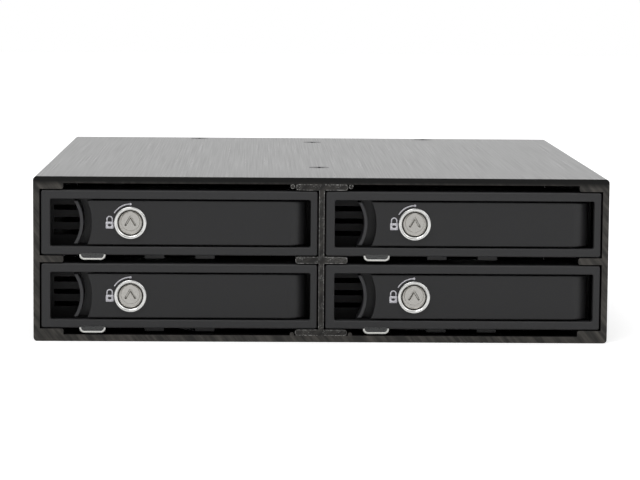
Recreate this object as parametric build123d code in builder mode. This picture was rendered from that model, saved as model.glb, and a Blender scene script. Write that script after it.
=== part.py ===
from build123d import *
import os
from math import sqrt

os.makedirs("parts", exist_ok=True)

# A hot swap cage that holds four 2.5 inch drives in the space of one 5.25 inch bay.
# X runs across the front, +Y to the rear and +Z up. The origin is the middle of the underside.
# The pieces of a tray are drawn about the middle of its own front face, then put in each bay.

# The cage extrusion and its centre divider
cage_width = 146.0
cage_height = 42.0
cage_depth = 150.0
cage_corner = 1.0
flat_wall = 1.7
side_wall = 1.6
rail_reach = 6.0
rail_thick = 1.5
rail_round = 0.5
shelf_thick = 1.7
web_thick = 1.35
flange_reach = 6.6
divider_length = 136.0
rib_radius = 0.55
rib_gap = 0.25

# Screws that hold the cage together, M3 with a flat head
screw_radius = 1.5
screw_head = 2.65
screw_room = 0.1
thread_room = 0.05
front_screw_depth = 33.8
rear_screw_depth = 131.4
panel_screw_x = 34.4
panel_screw_inset = 4.0
recess_width = 0.7
recess_span = 2.6
recess_depth = 0.7

# Tapped holes that take the screws of a computer's drive bay
bay_screw_radius = 1.25
bay_screw_first = 47.4
bay_screw_pitch = 79.25
bay_screw_height = 10.0
bay_screw_span = 139.7

# Backplane board and what is soldered to it
board_gap = 0.3
board_thick = 1.6
board_edge = 0.2
receptacle_width = 41.6
receptacle_height = 6.0
receptacle_depth = 6.4
receptacle_lift = 1.2
receptacle_slot_height = 2.6
receptacle_slot_depth = 4.6
signal_slot = 11.0
power_slot = 21.4
slot_bridge = 1.8
ear_width = 2.2
ear_height = 3.0
ear_depth = 2.4
ear_taper = 8.0
vent_width = 50.0
vent_height = 4.2
vent_lift = 2.2
led_width = 1.8
led_height = 0.8
led_depth = 1.0
led_pitch = 3.2

# Rear panel, its spacers and the sockets that show through it
panel_thick = 1.2
panel_edge = 0.15
panel_flange = 8.0
flange_start = 10.0
flange_end = 63.0
spacer_x = 9.6
spacer_low = 6.5
spacer_high = 35.5
spacer_radius = 2.4
pan_head = 2.5
pan_head_height = 1.4
pan_screw_length = 3.0
data_port = (13.0, 5.6)
data_socket = (11.0, 3.4)
data_tongue = (8.6, 1.1)
data_pitch = 14.2
data_height = 29.5
power_port = (24.0, 6.0)
power_socket = (22.0, 4.2)
power_tongue = (19.6, 1.2)
power_x = 14.0
power_height = 14.5
port_proud = 1.2
socket_depth = 6.0
window_room = 0.3

# Two 40 mm fans on the rear panel
fan_size = 40.0
fan_depth = 10.0
fan_x = 50.0
fan_corner = 2.5
fan_bore = 18.9
fan_barrel = 20.0
fan_flange = 2.6
fan_screw_pitch = 32.0
fan_hole = 1.6
fan_screw = 1.45
fan_base = 10.5
fan_base_thick = 1.6
strut_width = 2.4
strut_count = 3
post_radius = 1.5
post_top = 3.0
shaft_room = 0.05
hub_radius = 10.2
hub_front = 0.9
hub_back = 7.9
hub_round = 1.0
blade_count = 7
blade_tip = 18.2
blade_thick = 1.0
blade_chord = 7.4
blade_root_angle = 52.0
blade_tip_angle = 35.0

# Bezel of a tray, a moulded frame with thin walls behind its front lip
bezel_width = 70.0
bezel_height = 16.5
bezel_depth = 14.0
bezel_corner = 0.6
bezel_edge = 0.5
tray_gap = 0.2
frame_left = 2.3
frame_right = 1.75
frame_top = 2.25
frame_bottom = 2.15
opening_corner = 0.5
opening_edge = 0.3
lip_depth = 2.2
bezel_side = 1.1
bezel_flat = 0.9
back_wall = 1.4
slot_height = 1.4
slot_pitch = 3.2
slot_count = 4
slot_top = 5.9
slot_width = 8.4

# Lever that locks a tray in, and its hinge
lever_gap = 0.375
lever_inset = 0.4
lever_thick = 2.0
lever_curl = 5.0
hinge_from_right = 7.7
knuckle_radius = 3.1
pin_radius = 1.0
pin_room = 0.05
pin_short = 0.15
hinge_boss = 2.6
end_gap = 0.25
lever_left = 12.9
lever_end_radius = 14.0
lever_edge = 0.45
lever_rib = 1.2
lever_rib_depth = 2.8
catch_from_end = 0.9
catch_thick = 1.2
catch_height = 6.0

# Release latch with a crescent finger pull, and its spring
rim_middle = 9.8
rim_radius = 10.0
rim_thick = 0.9
rim_height = 11.0
rim_front = 0.8
latch_front = 6.9
latch_thick = 1.4
latch_height = 13.8
latch_right = 18.0
guide_gap = 0.15
guide_thick = 1.35
guide_reach = 1.35
hook_gap = 0.15
hook_thick = 1.2
hook_front = 3.2
lug_left = 11.0
lug_thick = 1.2
lug_height = 4.4
lug_depth = 3.7
spring_radius = 1.4
spring_wire = 0.22
spring_turns = 4
spring_depth = 10.4
spring_post_thick = 1.2
spring_post_height = 5.0
spring_post_front = 9.0

# Key lock in the lever
lock_from_left = 22.6
ring_radius = 4.1
ring_thick = 0.7
ring_bevel = 0.3
ring_edge = 0.25
barrel_radius = 3.9
barrel_room = 0.05
barrel_back = 6.0
plug_radius = 3.2
plug_room = 0.05
plug_inset = 0.65
plug_back = 6.15
dial_radius = 2.45
dial_thick = 0.25
pointer_width = 1.0
pointer_reach = 3.0
keyway_width = 2.6
keyway_height = 2.1
keyway_stroke = 0.75
keyway_depth = 2.5
tail_radius = 1.5
tail_head = 2.4
tail_head_thick = 1.0
cam_front = 6.3
cam_thick = 1.0
cam_hub = 3.0
cam_tip = 1.5
cam_reach = 7.0
strike_gap = 0.3
strike_thick = 1.2
strike_width = 6.0

# Tray pan, a steel plate that the drive is screwed down on
pan_thick = 1.2
pan_back = 128.0
pan_corner = 2.0
pan_flange_left = 22.0
pan_flange_right = 66.0
pan_flange_height = 9.0
tongue_x = 6.45
tongue_width = 4.9
tongue_front = 3.5
joggle_length = 1.5
tongue_screw_depth = 9.0
tongue_screw = 1.2
tongue_head = 2.0
tongue_screw_length = 3.6
screw_boss = 2.2
screw_boss_height = 1.9
drive_hole_span = 61.72
drive_hole_pitch = 76.6
drive_hole_first = 38.4
drive_hole_radius = 1.65
drive_head_radius = 2.75
window_count = (3, 3)
window_bar = (2.5, 7.0)
window_radius = 2.0
window_front = 12.0
window_back = 22.0
window_from_pipe = 3.0
window_from_hole = 1.6

# Light pipe under a tray, from the board's lamps to the front
pipe_from_left = 13.0
pipe_width = 6.5
pipe_low = 0.95
pipe_inset = 0.15
pipe_head_rise = 0.5
pipe_head_length = 13.3
pipe_room = 0.05
pipe_back_gap = 0.3
pipe_edge = 0.25
peg_radius = 1.2
peg_height = 1.1
peg_depths = (42.0, 104.0)

# Places worked out from the sizes above
front_y = -cage_depth / 2
rear_y = cage_depth / 2
mid_height = cage_height / 2
cavity_width = cage_width - 2 * side_wall
cavity_height = cage_height - 2 * flat_wall
ceiling = cage_height - flat_wall
rib_x = flange_reach + rib_gap + rib_radius
bay_x = (cavity_width / 2 + web_thick / 2) / 2
low_bay_z = flat_wall + rail_thick + tray_gap + bezel_height / 2
high_bay_z = mid_height + shelf_thick / 2 + tray_gap + bezel_height / 2
board_front = divider_length + board_gap
board_back = board_front + board_thick
panel_front = cage_depth - panel_thick
spacer_places = [(x, z) for x in (-spacer_x, spacer_x) for z in (spacer_low, spacer_high)]
bays = {
    "upper_left": (-bay_x, high_bay_z),
    "upper_right": (bay_x, high_bay_z),
    "lower_left": (-bay_x, low_bay_z),
    "lower_right": (bay_x, low_bay_z),
}


def cage_face(depth):
    """The upright plane at a depth behind the cage's front, across X and up Z."""
    return Plane.XZ.offset(-front_y - depth)


def tray_face(depth):
    """The upright plane at a depth behind a tray's front face."""
    return Plane.XZ.offset(-depth)


def block(x, y, z, mode=Mode.ADD):
    """A block between the two ends given along each axis."""
    with Locations((sum(x) / 2, sum(y) / 2, sum(z) / 2)):
        Box(abs(x[1] - x[0]), abs(y[1] - y[0]), abs(z[1] - z[0]), mode=mode)


def save(piece, name):
    """Label a finished piece and write it under its own name."""
    piece.label = name
    export_step(piece, f"parts/{name}.step")


def cavity_outline(edge):
    """The cage's open section drawn in by an edge gap, with room left for its rails, stubs and ribs."""
    with Locations((0, mid_height)):
        Rectangle(cavity_width - 2 * edge, cavity_height - 2 * edge)
    for side in (-1, 1):
        tip = cavity_width / 2 - rail_reach - edge
        for level, thick in (
            (flat_wall + rail_thick / 2, rail_thick),
            (mid_height, shelf_thick),
            (ceiling - rail_thick / 2, rail_thick),
        ):
            with Locations((side * (tip + rail_reach), level)):
                Rectangle(2 * rail_reach, thick + 2 * edge, mode=Mode.SUBTRACT)
        for level in (flat_wall, ceiling):
            with Locations((side * rib_x, level)):
                Circle(2 * rib_radius + edge, mode=Mode.SUBTRACT)


# The housing is one extruded tube with rails in its corners and a shelf stub half-way up each side.
flat_screws = [
    (x, front_y + depth)
    for x, depth in (
        (0, front_screw_depth),
        (0, rear_screw_depth),
        (-panel_screw_x, cage_depth - panel_screw_inset),
        (panel_screw_x, cage_depth - panel_screw_inset),
    )
]
screw_places = [Location((x, y, cage_height)) for x, y in flat_screws]
screw_places += [Location((x, y, 0), (180, 0, 0)) for x, y in flat_screws]
bay_screw_y = [front_y + bay_screw_first + n * bay_screw_pitch for n in (0, 1)]

with BuildPart() as housing:
    with BuildSketch(cage_face(0)):
        with Locations((0, mid_height)):
            RectangleRounded(cage_width, cage_height, cage_corner)
            Rectangle(cavity_width, cavity_height, mode=Mode.SUBTRACT)
        for side in (-1, 1):
            rail_width = rail_reach + side_wall / 2
            rail_x = side * (cavity_width / 2 - rail_reach + rail_width / 2)
            rail_height = rail_thick + flat_wall / 2
            rail_level = mid_height - (flat_wall + rail_height) / 2
            with Locations((rail_x, mid_height)):
                RectangleRounded(rail_width, shelf_thick, rail_round)
            for end in (-1, 1):
                with Locations((rail_x, mid_height + end * rail_level)):
                    RectangleRounded(rail_width, rail_height, rail_round)
                with Locations((side * rib_x, mid_height + end * (cavity_height - rib_radius) / 2)):
                    Circle(rib_radius)
    extrude(amount=-cage_depth)
    with Locations(*screw_places):
        CounterSinkHole(screw_radius + screw_room, screw_head + screw_room, flat_wall, 90)
    for y in bay_screw_y:
        with Locations(Location((0, y, bay_screw_height), (0, 90, 0))):
            Cylinder(bay_screw_radius, cage_width, mode=Mode.SUBTRACT)
        for side in (-1, 1):
            with Locations((side * bay_screw_span / 2, y, (flat_wall + rail_thick) / 2)):
                Cylinder(bay_screw_radius, flat_wall + rail_thick, mode=Mode.SUBTRACT)
save(housing.part, "housing")

# The divider is a second extrusion: an upright web with a flange at the floor, middle and ceiling.
with BuildPart() as divider:
    with BuildSketch(cage_face(0)):
        with Locations((0, mid_height)):
            Rectangle(web_thick, cavity_height - rail_thick)
            RectangleRounded(2 * flange_reach, shelf_thick, rail_round)
        for end in (-1, 1):
            with Locations((0, mid_height + end * (cavity_height - rail_thick) / 2)):
                RectangleRounded(2 * flange_reach, rail_thick, rail_round)
    extrude(amount=-divider_length)
    for depth in (front_screw_depth, rear_screw_depth):
        for level in (flat_wall, ceiling - rail_thick):
            with Locations((0, front_y + depth, level + rail_thick / 2)):
                Cylinder(screw_radius + thread_room, rail_thick, mode=Mode.SUBTRACT)
save(divider.part, "divider")

# Flat-head screws, with a cross recess, fix the divider and the rear panel to the housing.
with BuildPart() as flat_screw:
    with BuildSketch(Plane.XZ):
        with BuildLine():
            Polyline(
                (0, 0),
                (screw_head, 0),
                (screw_radius, screw_radius - screw_head),
                (screw_radius, -(flat_wall + rail_thick)),
                (0, -(flat_wall + rail_thick)),
                close=True,
            )
        make_face()
    revolve(axis=Axis.Z)
    with Locations((0, 0, -recess_depth / 2)):
        Box(recess_span, recess_width, recess_depth, mode=Mode.SUBTRACT)
        Box(recess_width, recess_span, recess_depth, mode=Mode.SUBTRACT)

with BuildPart() as cage_screws:
    with Locations(*screw_places):
        add(flat_screw.part)
save(cage_screws.part, "cage_screws")

# The backplane board stands across the cage behind the divider, with vents over each receptacle.
with BuildPart() as backplane:
    with BuildSketch(cage_face(board_front)):
        cavity_outline(board_edge)
        with Locations(*[(x, z + vent_lift + vent_height / 2) for x, z in bays.values()]):
            RectangleRounded(vent_width, vent_height, vent_height / 4, mode=Mode.SUBTRACT)
        with Locations(*spacer_places):
            Circle(screw_radius + screw_room, mode=Mode.SUBTRACT)
    extrude(amount=-board_thick)
save(backplane.part, "backplane")

# One receptacle for each drive: a signal slot and a power slot side by side, and a guide ear at each end.
receptacle_z = pan_thick + receptacle_lift + receptacle_height / 2 - bezel_height / 2
with BuildPart() as drive_receptacles:
    face = board_front - receptacle_depth
    slots = signal_slot + slot_bridge + power_slot
    for x, z in bays.values():
        with BuildSketch(cage_face(face)):
            with Locations((x, z + receptacle_z)):
                Rectangle(receptacle_width, receptacle_height)
        extrude(amount=-receptacle_depth)
        with BuildSketch(cage_face(face)):
            for middle, width in (
                (x - (slots - signal_slot) / 2, signal_slot),
                (x + (slots - power_slot) / 2, power_slot),
            ):
                with Locations((middle, z + receptacle_z)):
                    Rectangle(width, receptacle_slot_height)
        extrude(amount=-receptacle_slot_depth, mode=Mode.SUBTRACT)
        for side in (-1, 1):
            with BuildSketch(cage_face(face)):
                with Locations((x + side * (receptacle_width - ear_width) / 2, z + receptacle_z)):
                    Rectangle(ear_width, ear_height)
            extrude(amount=ear_depth, taper=ear_taper)
save(drive_receptacles.part, "drive_receptacles")

# Two lamps on the board stand behind the end of each tray's light pipe.
pipe_x = pipe_from_left - bezel_width / 2
pipe_z = -(bezel_height + pipe_low) / 2
with BuildPart() as status_leds:
    for x, z in bays.values():
        for side in (-1, 1):
            with BuildSketch(cage_face(board_front - led_depth)):
                with Locations((x + pipe_x + side * led_pitch / 2, z + pipe_z)):
                    RectangleRounded(led_width, led_height, led_height / 4)
            extrude(amount=-led_depth)
save(status_leds.part, "status_leds")

# The rear panel is folded sheet that closes the tube, flush with its end, and carries the fans.
with BuildPart() as rear_panel:
    with BuildSketch(cage_face(panel_front)):
        cavity_outline(panel_edge)
        with Locations((-fan_x, mid_height), (fan_x, mid_height)):
            Circle(fan_bore, mode=Mode.SUBTRACT)
            with GridLocations(fan_screw_pitch, fan_screw_pitch, 2, 2):
                Circle(fan_screw + thread_room, mode=Mode.SUBTRACT)
        with Locations((0, data_height)):
            Rectangle(
                3 * data_pitch + data_port[0] + 2 * window_room,
                data_port[1] + 2 * window_room,
                mode=Mode.SUBTRACT,
            )
        with Locations((-power_x, power_height), (power_x, power_height)):
            Rectangle(
                power_port[0] + 2 * window_room, power_port[1] + 2 * window_room, mode=Mode.SUBTRACT
            )
        with Locations(*spacer_places):
            Circle(screw_radius + screw_room, mode=Mode.SUBTRACT)
    extrude(amount=-panel_thick)
    for side in (-1, 1):
        for low in (flat_wall, ceiling - panel_thick):
            block(
                (side * flange_start, side * flange_end),
                (rear_y - panel_thick - panel_flange, rear_y - panel_thick),
                (low, low + panel_thick),
            )
            with Locations((side * panel_screw_x, rear_y - panel_screw_inset, low + panel_thick / 2)):
                Cylinder(screw_radius + thread_room, panel_thick, mode=Mode.SUBTRACT)
save(rear_panel.part, "rear_panel")

# Round spacers hold the board off the panel, with a pan-head screw at each end.
spacer_length = panel_front - board_back
with BuildPart() as spacers:
    with BuildSketch(cage_face(board_back)):
        with Locations(*spacer_places):
            Circle(spacer_radius)
            Circle(screw_radius + thread_room, mode=Mode.SUBTRACT)
    extrude(amount=-spacer_length)
save(spacers.part, "spacers")

with BuildPart() as pan_screw:
    with BuildSketch(Plane.XY):
        Circle(pan_head)
    extrude(amount=pan_head_height)
    fillet(pan_screw.faces().sort_by(Axis.Z)[-1].edges(), pan_head_height / 2)
    with BuildSketch(Plane.XY):
        Circle(screw_radius)
    extrude(amount=-(board_thick + pan_screw_length))

with BuildPart() as spacer_screws:
    for x, z in spacer_places:
        with Locations(
            Location((x, front_y + board_front, z), (90, 0, 0)), Location((x, rear_y, z), (-90, 0, 0))
        ):
            add(pan_screw.part)
save(spacer_screws.part, "spacer_screws")


def rear_sockets(places, outside, socket, tongue):
    """Sockets that reach from the board out through the panel, each with a contact tongue inside."""
    length = cage_depth + port_proud - board_back
    with BuildPart() as ports:
        for x, z in places:
            with BuildSketch(cage_face(board_back)):
                with Locations((x, z)):
                    Rectangle(*outside)
            extrude(amount=-length)
            with BuildSketch(cage_face(cage_depth + port_proud - socket_depth)):
                with Locations((x, z)):
                    Rectangle(*socket)
                    Rectangle(*tongue, mode=Mode.SUBTRACT)
            extrude(amount=-socket_depth, mode=Mode.SUBTRACT)
    return ports.part


data_places = [(n * data_pitch / 2, data_height) for n in (-3, -1, 1, 3)]
power_places = [(-power_x, power_height), (power_x, power_height)]
save(rear_sockets(data_places, data_port, data_socket, data_tongue), "data_ports")
save(rear_sockets(power_places, power_port, power_socket, power_tongue), "power_ports")

# A fan frame is two square flanges round a barrel, with struts to the motor base and its bearing post.
with BuildPart() as fan_frame:
    with BuildSketch():
        RectangleRounded(fan_size, fan_size, fan_corner)
    extrude(amount=fan_flange)
    with BuildSketch(Plane.XY.offset(fan_flange)):
        Circle(fan_barrel)
    extrude(amount=fan_depth - 2 * fan_flange)
    with BuildSketch(Plane.XY.offset(fan_depth - fan_flange)):
        RectangleRounded(fan_size, fan_size, fan_corner)
    extrude(amount=fan_flange)
    with BuildSketch():
        Circle(fan_bore)
        with GridLocations(fan_screw_pitch, fan_screw_pitch, 2, 2):
            Circle(fan_hole)
    extrude(amount=fan_depth, mode=Mode.SUBTRACT)
    with BuildSketch(Plane.XY.offset(fan_depth - fan_base_thick)):
        Circle(fan_base)
        with PolarLocations(fan_barrel / 2, strut_count):
            Rectangle(fan_barrel, strut_width)
    extrude(amount=fan_base_thick)
    with BuildSketch(Plane.XY.offset(post_top)):
        Circle(post_radius)
    extrude(amount=fan_depth - fan_base_thick - post_top)

# A rotor is a cup-shaped hub with twisted blades, and turns on the frame's bearing post.
with BuildPart() as fan_rotor:
    with BuildSketch(Plane.XY.offset(hub_front)):
        Circle(hub_radius)
    extrude(amount=hub_back - hub_front)
    fillet(fan_rotor.faces().sort_by(Axis.Z)[0].edges(), hub_round)
    with PolarLocations(0, blade_count) as blade_places:
        turns = blade_places.locations
    hub_middle = (hub_front + hub_back) / 2
    for reach, angle in ((hub_radius - hub_round, blade_root_angle), (blade_tip, blade_tip_angle)):
        with BuildSketch(Plane((reach, 0, hub_middle), x_dir=(0, 1, 0), z_dir=(1, 0, 0))):
            Rectangle(blade_chord, blade_thick, rotation=angle)
    blade = loft(mode=Mode.PRIVATE)
    with Locations(*turns):
        add(blade)
    with BuildSketch(Plane.XY.offset(post_top - shaft_room)):
        Circle(post_radius + shaft_room)
    extrude(amount=hub_back, mode=Mode.SUBTRACT)

fan_places = {
    side: Location((x, rear_y, mid_height), (-90, 0, 0)) for side, x in (("left", -fan_x), ("right", fan_x))
}
for side, place in fan_places.items():
    save(fan_frame.part.moved(place), f"fan_frame_{side}")
    save(fan_rotor.part.moved(place), f"fan_rotor_{side}")

with BuildPart() as fan_screws:
    for x in (-fan_x, fan_x):
        for across in (-fan_screw_pitch / 2, fan_screw_pitch / 2):
            for up in (-fan_screw_pitch / 2, fan_screw_pitch / 2):
                with BuildSketch(cage_face(cage_depth + fan_depth)):
                    with Locations((x + across, mid_height + up)):
                        Circle(pan_head)
                extrude(amount=-pan_head_height)
                with BuildSketch(cage_face(cage_depth + fan_depth)):
                    with Locations((x + across, mid_height + up)):
                        Circle(fan_screw)
                extrude(amount=fan_depth + panel_thick)
    crowns = fan_screws.faces().filter_by(Axis.Y).group_by(Axis.Y)[-1]
    chamfer(crowns.edges(), pan_head_height / 3)
save(fan_screws.part, "fan_screws")

# Places inside a tray, from the middle of its front face
left_x = -bezel_width / 2
half_height = bezel_height / 2
inner_half = half_height - bezel_flat
opening_low = frame_bottom - half_height
opening_high = half_height - frame_top
opening_z = (opening_low + opening_high) / 2
opening_height = opening_high - opening_low
opening_width = bezel_width - frame_left - frame_right
opening_x = (frame_left - frame_right) / 2
lever_low = opening_low + lever_gap
lever_high = opening_high - lever_gap
hinge_x = bezel_width / 2 - hinge_from_right
hinge_y = lever_inset + lever_curl
lever_back = lever_inset + lever_thick
lever_left_x = left_x + lever_left
lock_x = left_x + lock_from_left
rim_x = left_x + rim_middle - rim_radius
rim_tip_x = rim_x + sqrt(rim_radius**2 - (rim_height / 2) ** 2)
latch_right_x = left_x + latch_right
latch_back = latch_front + latch_thick
spring_post_x = latch_right_x
back_wall_front = bezel_depth - back_wall
pin_length = bezel_height - 2 * pin_short
catch_x = lever_left_x + catch_from_end
hook_x = catch_x + catch_thick + hook_gap
lug_x = left_x + lug_left
tongue_z = -half_height - pan_thick

# The bezel is moulded in one piece: lip, thin shell, slatted back wall, hinge bosses, guides and posts.
with BuildPart() as bezel:
    with BuildSketch(tray_face(0)):
        Rectangle(bezel_width, bezel_height)
    extrude(amount=-bezel_depth)
    fillet(bezel.edges().filter_by(Axis.Y), bezel_corner)
    fillet(bezel.faces().sort_by(Axis.Y)[0].edges(), bezel_edge)
    with BuildSketch(tray_face(0)):
        with Locations((opening_x, opening_z)):
            RectangleRounded(opening_width, opening_height, opening_corner)
    extrude(amount=-lip_depth, mode=Mode.SUBTRACT)
    fillet(bezel.faces().sort_by(Axis.Y)[0].inner_wires()[0].edges(), opening_edge)
    with BuildSketch(tray_face(lip_depth)):
        Rectangle(bezel_width - 2 * bezel_side, 2 * inner_half)
    extrude(amount=lip_depth - back_wall_front, mode=Mode.SUBTRACT)
    with BuildSketch(tray_face(back_wall_front)):
        with Locations(
            *[
                (left_x + frame_left + slot_width / 2, slot_top - n * slot_pitch)
                for n in range(slot_count)
            ]
        ):
            Rectangle(slot_width, slot_height)
    extrude(amount=-back_wall, mode=Mode.SUBTRACT)
    # Bosses above and below the lever hold its hinge pin
    for level, amount in (
        (-inner_half, lever_low - end_gap + inner_half),
        (inner_half, lever_high + end_gap - inner_half),
    ):
        with BuildSketch(Plane.XY.offset(level)):
            with Locations((hinge_x, hinge_y)):
                Circle(hinge_boss)
        extrude(amount=amount)
    # Guides for the latch, a strike for the lock's cam and a post for the spring
    for side in (-1, 1):
        edge = (side * (inner_half - guide_reach), side * inner_half)
        for near in (latch_front - guide_gap - guide_thick, latch_back + guide_gap):
            block((rim_tip_x, latch_right_x), (near, near + guide_thick), edge)
    strike_back = cam_front - strike_gap
    block(
        (lock_x - strike_width / 2, lock_x + strike_width / 2),
        (strike_back - strike_thick, strike_back),
        (inner_half - guide_reach, inner_half),
    )
    block(
        (spring_post_x, spring_post_x + spring_post_thick),
        (spring_post_front, back_wall_front),
        (-spring_post_height / 2, spring_post_height / 2),
    )
    # Bosses in the floor take the screws of the pan's tongues
    with BuildSketch(Plane.XY.offset(-inner_half)):
        with Locations((-tongue_x, tongue_screw_depth), (tongue_x, tongue_screw_depth)):
            Circle(screw_boss)
    extrude(amount=screw_boss_height)
    with BuildSketch(Plane.XY.offset(-half_height)):
        with Locations((-tongue_x, tongue_screw_depth), (tongue_x, tongue_screw_depth)):
            Circle(tongue_screw + thread_room)
    extrude(amount=bezel_flat + screw_boss_height, mode=Mode.SUBTRACT)
    with BuildSketch(Plane.XY.offset(-half_height)):
        with Locations((hinge_x, hinge_y)):
            Circle(pin_radius + pin_room)
    extrude(amount=bezel_height, mode=Mode.SUBTRACT)
    block(
        (pipe_x - pipe_width / 2 - pipe_room, pipe_x + pipe_width / 2 + pipe_room),
        (0, bezel_depth),
        (-half_height, pipe_head_rise + pipe_room - half_height),
        mode=Mode.SUBTRACT,
    )

# The lever is a plate that curls back round its hinge, stiffened by a rib along each edge.
with BuildPart() as lever:
    with BuildSketch(Plane.XY.offset(lever_low)):
        with BuildLine():
            Polyline(
                (hinge_x, lever_inset),
                (lever_left_x - lever_thick, lever_inset),
                (lever_left_x - lever_thick, lever_back),
                (hinge_x, lever_back),
            )
            CenterArc((hinge_x, hinge_y), lever_curl - lever_thick, -90, 90)
            Line((hinge_x + lever_curl - lever_thick, hinge_y), (hinge_x + lever_curl, hinge_y))
            CenterArc((hinge_x, hinge_y), lever_curl, -90, 90)
        make_face()
    extrude(amount=lever_high - lever_low)
    fillet(lever.faces().sort_by(Axis.Y)[0].edges().filter_by(Axis.X), lever_edge)
    with BuildSketch(Plane.XY.offset(lever_low)):
        with Locations((hinge_x, hinge_y)):
            Circle(knuckle_radius)
    extrude(amount=lever_high - lever_low)
    for low in (lever_low, lever_high - lever_rib):
        block((lever_left_x, hinge_x), (lever_back, lever_back + lever_rib_depth), (low, low + lever_rib))
    block(
        (catch_x, catch_x + catch_thick),
        (lever_back, lever_back + lever_rib_depth),
        (opening_z - catch_height / 2, opening_z + catch_height / 2),
    )
    with BuildSketch(tray_face(0)):
        with Locations((lever_left_x - lever_end_radius, opening_z)):
            Circle(lever_end_radius)
        with Locations((lock_x, opening_z)):
            Circle(barrel_radius + barrel_room)
    extrude(amount=-(lever_back + lever_rib_depth), mode=Mode.SUBTRACT)
    with BuildSketch(Plane.XY.offset(lever_low)):
        with Locations((hinge_x, hinge_y)):
            Circle(pin_radius + pin_room)
    extrude(amount=lever_high - lever_low, mode=Mode.SUBTRACT)

with BuildPart() as lever_pin:
    with Locations((hinge_x, hinge_y, 0)):
        Cylinder(pin_radius, pin_length)
    chamfer(lever_pin.edges().filter_by(GeomType.CIRCLE), pin_short)

# The latch is a slide behind the lever, with a crescent wall in front for the fingertip.
with BuildPart() as release_latch:
    with BuildSketch(tray_face(rim_front)):
        with Locations((rim_x, 0)):
            Circle(rim_radius + rim_thick)
            Circle(rim_radius, mode=Mode.SUBTRACT)
        with Locations((rim_x + rim_radius, 0)):
            Rectangle(rim_radius, rim_height, mode=Mode.INTERSECT)
    extrude(amount=rim_front - latch_back)
    fillet(release_latch.faces().sort_by(Axis.Y)[0].edges(), rim_thick / 3)
    with BuildSketch(tray_face(latch_front)):
        with Locations(((rim_tip_x + latch_right_x) / 2, 0)):
            Rectangle(latch_right_x - rim_tip_x, latch_height)
        with Locations((rim_x, 0)):
            Circle(rim_radius, mode=Mode.SUBTRACT)
    extrude(amount=-latch_thick)
    block((hook_x, hook_x + hook_thick), (hook_front, latch_front), (-catch_height / 2, catch_height / 2))
    block(
        (lug_x, lug_x + lug_thick),
        (latch_back, latch_back + lug_depth),
        (-lug_height / 2, lug_height / 2),
    )

# A coil spring between the latch's lug and the bezel's post pushes the latch back to the left.
spring_start = lug_x + lug_thick + spring_wire
spring_length = spring_post_x - spring_wire - spring_start
with BuildPart() as latch_spring:
    with BuildLine():
        coil = Helix(
            spring_length / spring_turns,
            spring_length,
            spring_radius,
            center=(spring_start, spring_depth, 0),
            direction=(1, 0, 0),
        )
    with BuildSketch(Plane(origin=coil @ 0, z_dir=coil % 0)):
        Circle(spring_wire)
    sweep(is_frenet=True)

# The lock is a turned barrel with a bright ring, a plug with a keyway, and a cam on the plug's tail.
with BuildPart() as lock_barrel:
    with BuildSketch(tray_face(lever_inset - ring_thick)):
        with Locations((lock_x, opening_z)):
            Circle(ring_radius)
    extrude(amount=-ring_thick)
    fillet(lock_barrel.faces().sort_by(Axis.Y)[0].edges(), ring_edge)
    with BuildSketch(tray_face(lever_inset)):
        with Locations((lock_x, opening_z)):
            Circle(barrel_radius)
    extrude(amount=lever_inset - barrel_back)
    with BuildSketch(tray_face(lever_inset - ring_thick)):
        with Locations((lock_x, opening_z)):
            Circle(plug_radius + plug_room)
    extrude(amount=lever_inset - ring_thick - barrel_back, mode=Mode.SUBTRACT)
    chamfer(lock_barrel.faces().sort_by(Axis.Y)[0].inner_wires()[0].edges(), ring_bevel)

plug_front = lever_inset - ring_thick + plug_inset
with BuildPart() as lock_plug:
    with BuildSketch(tray_face(plug_front)):
        with Locations((lock_x, opening_z)):
            Circle(plug_radius)
    extrude(amount=plug_front - plug_back)
    with BuildSketch(tray_face(plug_front - dial_thick)):
        with Locations((lock_x, opening_z)):
            Circle(dial_radius)
        with Locations((lock_x, opening_z + pointer_reach / 2)):
            Rectangle(pointer_width, pointer_reach)
    extrude(amount=-dial_thick)
    with BuildSketch(tray_face(plug_front - dial_thick)):
        with Locations((lock_x, opening_z - keyway_height / 2)):
            with BuildLine():
                half = keyway_width / 2
                Polyline(
                    (-half, 0),
                    (0, keyway_height),
                    (half, 0),
                    (half - keyway_stroke, 0),
                    (0, keyway_height - keyway_stroke * keyway_height / half),
                    (keyway_stroke - half, 0),
                    close=True,
                )
            make_face()
    extrude(amount=-keyway_depth, mode=Mode.SUBTRACT)
    tail_back = cam_front + cam_thick + strike_gap / 2
    with BuildSketch(tray_face(plug_back)):
        with Locations((lock_x, opening_z)):
            Circle(tail_radius)
    extrude(amount=plug_back - tail_back)
    with BuildSketch(tray_face(tail_back)):
        with Locations((lock_x, opening_z)):
            Circle(tail_head)
    extrude(amount=-tail_head_thick)

with BuildPart() as lock_cam:
    with BuildSketch(tray_face(cam_front)):
        with Locations((lock_x, opening_z)):
            Circle(cam_hub)
        with Locations((lock_x + cam_reach - cam_tip, opening_z)):
            Circle(cam_tip)
        make_hull()
        with Locations((lock_x, opening_z)):
            Circle(tail_radius + thread_room, mode=Mode.SUBTRACT)
    extrude(amount=-cam_thick)

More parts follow.
